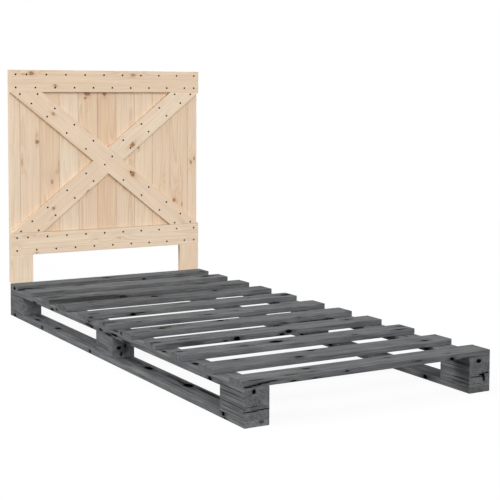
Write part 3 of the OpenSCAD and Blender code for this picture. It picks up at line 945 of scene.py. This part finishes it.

# %% [markdown]
# ## The planks of the headboard
#
# Nine full planks and a ripped one at each edge stand side by side. They are bare, and each
# has its own warmth. The edge planks run on down behind the legs and are screwed to them from
# the back, so they have pockets too: three, evenly spaced between the base and the rail. The
# planks' edges along the seams get painted shade, which stands in for the light they lose there.

# %% Planks
FRONT_FACE = (1, -9, 20)     # along y, 9 mm before the middle, and right through the board
PAINTED_SEAM_SHADE = 0.82                  # painted shade on a plank's edges at the seams, next to its face
PLANK_WARMTH = {"left_edge_plank": 0.25, "plank_1": 0.4, "plank_2": 0.75, "plank_3": 0.1,
                "plank_4": 0.6, "plank_5": 1.0, "plank_6": 0.45, "plank_7": 0.3, "plank_8": 0.55,
                "plank_9": 0.6, "right_edge_plank": 0.45}
PLANK_SPOTS = {
    "plank_1": [(32, 87, 10, 8, 0.8), (30, 116, 9, 7, 0.4), (-36, 1, 18, 5, 0.5)],
    "plank_2": [
        (10, -86, 9, 7, 0.6), (14, -62, 26, 15, 0.28), (32, -44, 12, 8, 0.4),
        (40, -24, 26, 4, 0.45)],
    "plank_4": [(-3, 293, 12, 14, 0.8), (-12, 273, 6, 6, 0.7), (-6, 230, 30, 5, 0.3)],
    "plank_5": [(9, 59, 9, 6, 0.5), (-10, 293, 10, 9, 0.8), (-42, 214, 60, 4, 0.35)],
    "plank_6": [(26, -18, 24, 9, 0.35), (-5, -114, 12, 8, 0.55)],
    "plank_7": [(-24, 54, 9, 6, 0.65)],
    "plank_8": [(11, -87, 28, 9, 0.28), (-10, -134, 10, 6, 0.3), (27, 133, 26, 5, 0.25)],
    "plank_9": [
        (-24, -189, 9, 9, 0.75), (-9, -197, 9, 9, 0.4), (16, -209, 12, 5, 0.55),
        (10, -59, 34, 3, 0.35), (18, -115, 40, 4, 0.35), (-2, -162, 34, 20, 0.25)],
    "right_edge_plank": [(11, 56, 9, 6, 0.6), (-5, 40, 8, 7, 0.65), (2, 48, 18, 13, 0.25)],
}
edge_low, edge_high = (corner[2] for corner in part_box("left_edge_plank"))
leg_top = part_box("left_headboard_leg")[1][2]
leg_pockets = [(edge_low + (leg_top - edge_low) * share - (edge_low + edge_high) / 2, SMALL_HEAD)
               for share in (1 / 6, 1 / 2, 5 / 6)]
for node, warmth in PLANK_WARMTH.items():
    seam_shade = (1 if node == "left_edge_plank" else PAINTED_SEAM_SHADE, 1 if node == "right_edge_plank" else PAINTED_SEAM_SHADE)
    board_from_box(node, Z, X, pine, "pale_pine", on_face(PLANK_SPOTS.get(node, ()), *FRONT_FACE),
                   edge=1.4, tone=(1, warmth, 0.7), faces=(*seam_shade, 1, 1),
                   pockets=leg_pockets if "edge" in node else ())
report("planks")

# %% [markdown]
# ## Rails and legs
#
# The rails lie across the planks and hold them together. Rails and legs are of a creamier wood
# than the planks, with few knots.

# %% Rails and legs
RAIL_SPOTS = {
    "top_rail": [
        (-350, 32, 11, 9, 0.8), (-386, 28, 10, 5, 0.5), (-244, -20, 7, 7, 0.65),
        (120, 29, 12, 7, 0.6), (112, 30, 30, 14, 0.25)],
    "bottom_rail": [
        (49, 3, 11, 5, 0.4), (-60, 3, 9, 5, 0.35), (-333, -40, 7, 4, 0.5), (-366, 31, 44, 9, 0.25),
        (-424, 0, 18, 12, 0.25)],
}
# Each rail's warmth, and painted shade on its upper edge; its underside gets painted light, 1.15.
RAIL_LOOKS = {"top_rail": (0.45, 0.9), "bottom_rail": (0.2, 0.65)}
for node, spots in RAIL_SPOTS.items():
    warmth, painted_upper_shade = RAIL_LOOKS[node]
    board_from_box(node, X, Z, pine, "pale_pine", on_face(spots, *FRONT_FACE), edge=1.2,
                   tone=(1, warmth, 0.8), faces=(1.15, painted_upper_shade, 1, 1))
for side, warmth, spots in (("left", 0.1, [(-46, 88, 9, 4, 0.3)]), ("right", 0.45, ())):
    board_from_box(f"{side}_headboard_leg", Z, X, pine, "pale_pine",
                   on_face(spots, *FRONT_FACE), edge=1.2, tone=(1, warmth, 0.5))
report("rails and legs")

# %% [markdown]
# ## The cross brace
#
# The long brace runs from corner to corner of the space between the rails. Its ends are cut
# level with them, and its edges meet the corners. For a space w wide and h high and a brace b
# wide, that holds where w * sin(angle) - h * cos(angle) = b, so the angle is the sum of two:
# the diagonal's own, atan(h / w), and asin(b / diagonal). The other diagonal is in two halves
# that butt on the long one.

# %% The shape of the cross
BRACE_WIDTH = 88 * MM
panel_low, panel_high = (np.array(corner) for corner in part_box("long_brace"))
panel_w, brace_t, panel_h = panel_high - panel_low
panel_mid = (panel_low + panel_high) / 2
angle = math.atan2(panel_h, panel_w) + math.asin(BRACE_WIDTH / math.hypot(panel_w, panel_h))
reach = panel_h / 2 / math.sin(angle)
level = 1 / math.tan(angle)
meeting = BRACE_WIDTH / 2 / math.sin(2 * angle)
square = -1 / math.tan(2 * angle)
print(f"the braces lie {math.degrees(angle):.2f} degrees from level")


# %% Braces
OWN_FACE = (2, 9, 20)        # along its own third axis, and right through the brace


def brace(node, lean, cuts, ends, spots, warmth):
    """A brace along one diagonal. Each end is cut where u = cut + end * a in its own axes, and
    the places of its spots are (u, a) in those axes too."""
    long = math.cos(angle) * X - lean * math.sin(angle) * Z
    wide = lean * math.sin(angle) * X + math.cos(angle) * Z
    # Painted light on the brace's lower edge, 1.2, and painted shade on its upper edge, 0.85.
    board = Board(node, panel_mid, long, wide, (cuts[1] - cuts[0], BRACE_WIDTH, brace_t),
                  on_face(spots, *OWN_FACE), cuts=cuts, ends=ends, edge=1.2,
                  tone=(1, warmth, 0.5), faces=(1.2, 0.85, 1, 1))
    boards.append(dress(build(board), pine, "pale_pine", node))


brace("long_brace", 1, (-reach, reach), (level, level),
      [(-357, 28, 8, 5, 0.3), (-326, 2, 9, 7, 0.6), (-157, 43, 16, 5, 0.4),
       (130, 24, 12, 10, 0.85), (140, 23, 22, 12, 0.28), (466, 1, 12, 7, 0.35)], 0.4)
brace("lower_half_brace", -1, (-reach, -meeting), (-level, square),
      [(-323, 4, 6, 7, 0.75), (-357, -24, 8, 5, 0.35), (-157, -42, 10, 5, 0.6)], 0.4)
brace("upper_half_brace", -1, (meeting, reach), (square, -level),
      [(131, -20, 12, 11, 0.85), (140, -18, 22, 14, 0.28)], 0.1)
report("braces")

# %% [markdown]
# ## Nails, screws, bolts and dowels
#
# The construction model already has these in their true shapes, so they only take their
# metals. The nails are blackened steel with a dull skin that hardly shines. The screws, bolts
# and washers are zinc plated, and the dowels are beech.

# %% Metals and beech
def speckled(name, first, second, roughness, **more):
    """A plain material whose colour and roughness vary a little in fine speckles."""
    material = bpy.data.materials.new(name)
    material.use_nodes = True
    s = Shader(material.node_tree)
    speckle = s.noise(s.add("ShaderNodeTexCoord", out="Object"), (800, 800, 800), 3)
    inputs = {"Base Color": s.mix(speckle, colour(*first), colour(*second)),
              "Roughness": s.math("MULTIPLY_ADD", speckle, 0.2, roughness)}
    inputs.update({key.replace("_", " "): value for key, value in more.items()})
    s.add("ShaderNodeOutputMaterial", {"Surface": s.add("ShaderNodeBsdfPrincipled", inputs)})
    return material


fasteners = {
    "nails": speckled("dark_nails", (22, 12, 5), (36, 22, 11), 0.8, Specular_IOR_Level=0.03),
    "dowels": speckled("beech", (216, 188, 148), (202, 170, 128), 0.55),
    "": speckled("zinc_steel", (196, 198, 200), (168, 170, 174), 0.28, Metallic=1.0),
}
for node in nodes:
    if node.endswith(("nails", "screws", "bolts", "washers", "dowels")):
        kind = next(end for end in fasteners if node.endswith(end))    # "" fits the others
        nodes[node].data.materials.clear()
        nodes[node].data.materials.append(fasteners[kind])
        print(f"{node}: {fasteners[kind].name}")

# %% [markdown]
# ## The finished bed
#
# The last step prints the sizes of the dressed bed and of the construction model.

# %% Sizes, and the end
bpy.context.view_layer.update()
visual_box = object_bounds()
for name, box in (("construction", cad_box), ("looks", visual_box)):
    size = [round(1000 * (high - low), 1) for low, high in zip(*box)]
    print(f"{name}: {size} mm")
